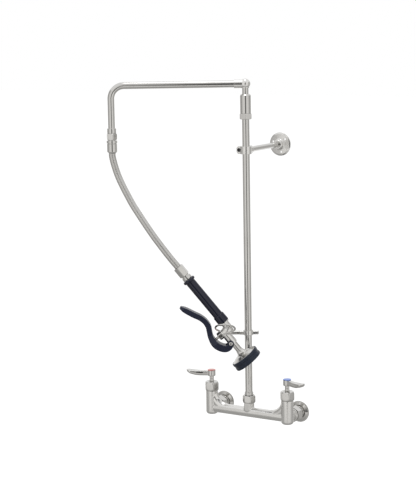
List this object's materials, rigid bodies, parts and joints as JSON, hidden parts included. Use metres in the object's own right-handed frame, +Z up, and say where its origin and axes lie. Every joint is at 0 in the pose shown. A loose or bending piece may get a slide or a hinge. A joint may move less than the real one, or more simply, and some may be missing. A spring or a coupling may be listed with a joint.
{
  "type": "pre-rinse faucet",
  "caption": "Wall-mounted pre-rinse faucet with lever valves, riser, wall bracket, swinging overhead arm, flexible hose and squeeze-lever spray valve.",
  "frame": {"origin": "midway between the two inlets, in the plane of their wall flanges, at the height of the bar axis", "axes": "+Z up along the riser, +Y into the wall, +X to the right of a person facing the wall"},
  "size_m": [0.4345, 0.3294, 0.8042],
  "materials": {
    "blue": "smooth",
    "casting": "polished casting",
    "ceramic": "smooth",
    "chrome": "polished",
    "dark": "blackened",
    "navy": "dark navy black, satin",
    "navy_rubber": "matte",
    "red": "smooth",
    "rubber": "matte",
    "steel_hose": "fine braid"
  },
  "bodies": {
    "mixing_body": {"faucet_body": "casting", "inlet_flange_hot": "chrome", "inlet_flange_cold": "chrome", "inlet_nut_hot": "chrome", "inlet_nut_cold": "chrome", "inlet_washers": "rubber", "bonnet_hot": "chrome", "bonnet_cold": "chrome", "cartridge_hot": "ceramic", "cartridge_cold": "ceramic", "union_nut": "chrome", "riser_collar": "chrome", "riser_pipe": "chrome", "bracket_clamp": "chrome", "bracket_screw": "dark", "bracket_rod": "chrome", "bracket_flange": "chrome", "hook_clamp": "chrome", "hook_finger": "chrome", "hook_screw": "dark", "swivel_nut": "chrome", "swivel_body": "chrome"},
    "hot_handle": {"stem_hot": "chrome", "handle_hot": "chrome", "handle_screw_hot": "chrome", "index_hot": "red"},
    "cold_handle": {"stem_cold": "chrome", "handle_cold": "chrome", "handle_screw_cold": "chrome", "index_cold": "blue"},
    "arm": {"swivel_spindle": "chrome", "swivel_seals": "rubber", "elbow": "chrome", "arm_tube": "chrome", "arm_ferrule": "chrome", "drop_nut": "chrome", "hose_fitting": "chrome", "hose_washer": "rubber", "hose": "steel_hose", "hose_coupling": "chrome"},
    "spray_unit": {"knuckle_ring": "chrome", "handle_tube": "chrome", "grip": "navy", "grip_collar": "navy", "valve_body": "casting", "valve_bonnet": "chrome", "valve_spring": "chrome", "lever_screws": "chrome", "nozzle_pipe": "chrome", "spray_head": "chrome", "bumper": "navy_rubber", "spray_plate": "rubber", "spray_screw": "chrome"},
    "plunger": {"plunger": "chrome", "valve_disc": "rubber"},
    "lever": {"lever": "navy"},
    "hold_ring": {"hold_ring": "chrome"}
  },
  "joints": [
    {"name": "hot_handle_turn", "type": "hinge", "parent": "mixing_body", "child": "hot_handle", "pos_m": [-0.1016, -0.06, 0.08], "axis": [0, 0, 1], "range_deg": [0, 90]},
    {"name": "cold_handle_turn", "type": "hinge", "parent": "mixing_body", "child": "cold_handle", "pos_m": [0.1016, -0.06, 0.08], "axis": [0, 0, -1], "range_deg": [0, 90]},
    {"name": "arm_swivel", "type": "hinge", "parent": "mixing_body", "child": "arm", "pos_m": [0, -0.06, 0.75], "axis": [0, 0, 1], "range_deg": [0, 120]},
    {"name": "spray_swivel", "type": "hinge", "parent": "arm", "child": "spray_unit", "pos_m": [-0.0235, -0.1313, 0.227], "axis": [-0.5391, -0.3113, 0.7826], "range_deg": [0, 180]},
    {"name": "lever_squeeze", "type": "hinge", "parent": "spray_unit", "child": "lever", "pos_m": [-0.00976, -0.12337, 0.17879], "axis": [-0.5, 0.866, 0], "range_deg": [0, 9], "stiffness_Nm_per_rad": 1, "springref_deg": -28.65},
    {"name": "plunger_slide", "type": "slide", "parent": "spray_unit", "child": "plunger", "axis": [0.6778, 0.3913, 0.6225], "range_m": [0, 0.0044]},
    {"name": "hold_ring_tilt", "type": "hinge", "parent": "spray_unit", "child": "hold_ring", "pos_m": [-0.02238, -0.14578, 0.22252], "axis": [0.5, -0.866, 0], "range_deg": [0, 30]}
  ],
  "couplings": [
    {"joint": "plunger_slide", "follows": "lever_squeeze", "m_per_rad": 0.0276}
  ]
}
